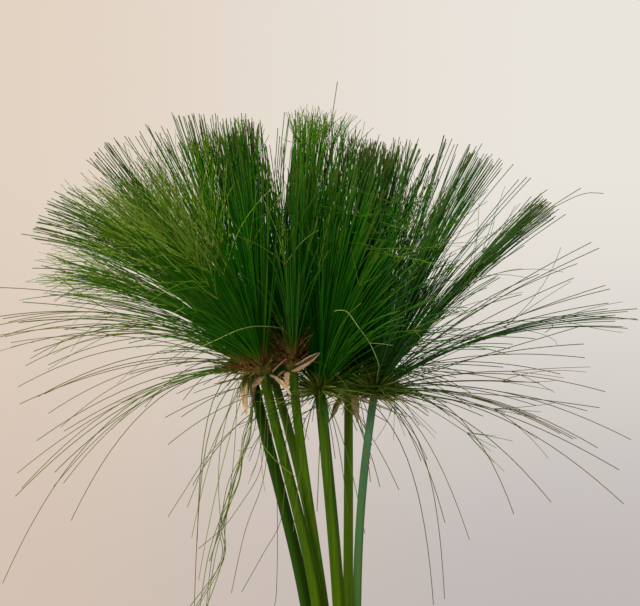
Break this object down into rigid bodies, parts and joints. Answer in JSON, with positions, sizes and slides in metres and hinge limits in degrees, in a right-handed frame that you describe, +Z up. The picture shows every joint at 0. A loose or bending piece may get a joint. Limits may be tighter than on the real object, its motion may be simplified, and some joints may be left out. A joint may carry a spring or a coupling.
{
  "type": "potted papyrus plant",
  "caption": "Potted papyrus: three-sided green stems, each under a mop of long thread-like rays and dry brown bracts, in a plain round pot.",
  "frame": {"origin": "middle of the flat foot that the pot stands on", "axes": "+Z up, the pictured front towards -Y, +X to the right of the picture"},
  "size_m": [0.6397, 0.5791, 0.8451],
  "materials": {
    "pot": "matt glazed stoneware",
    "soil": "moist dark potting soil",
    "rootstock": "scaly brown rhizome",
    "stem": "smooth waxy green",
    "sheath": "dry papery brown",
    "ray": "green, brown near the knob",
    "bract": "dry tan husk"
  },
  "bodies": {
    "root": {"pot": "pot", "soil": "soil", "rootstock": "rootstock", "stem_1": "stem", "sheath_1": "sheath", "umbel_1": "ray", "bract_1_1": "bract", "bract_1_2": "bract", "bract_1_3": "bract", "bract_1_4": "bract", "stem_2": "stem", "sheath_2": "sheath", "umbel_2": "ray", "bract_2_1": "bract", "bract_2_2": "bract", "bract_2_3": "bract", "bract_2_4": "bract", "stem_3": "stem", "sheath_3": "sheath", "umbel_3": "ray", "bract_3_1": "bract", "bract_3_2": "bract", "bract_3_3": "bract", "bract_3_4": "bract", "stem_4": "stem", "sheath_4": "sheath", "umbel_4": "ray", "bract_4_1": "bract", "bract_4_2": "bract", "bract_4_3": "bract", "bract_4_4": "bract", "stem_5": "stem", "sheath_5": "sheath", "umbel_5": "ray", "bract_5_1": "bract", "bract_5_2": "bract", "bract_5_3": "bract", "bract_5_4": "bract", "stem_6": "stem", "sheath_6": "sheath", "umbel_6": "ray", "bract_6_1": "bract", "bract_6_2": "bract", "bract_6_3": "bract", "bract_6_4": "bract", "stem_7": "stem", "sheath_7": "sheath", "umbel_7": "ray", "bract_7_1": "bract", "bract_7_2": "bract", "bract_7_3": "bract", "bract_7_4": "bract"}
  },
  "joints": []
}
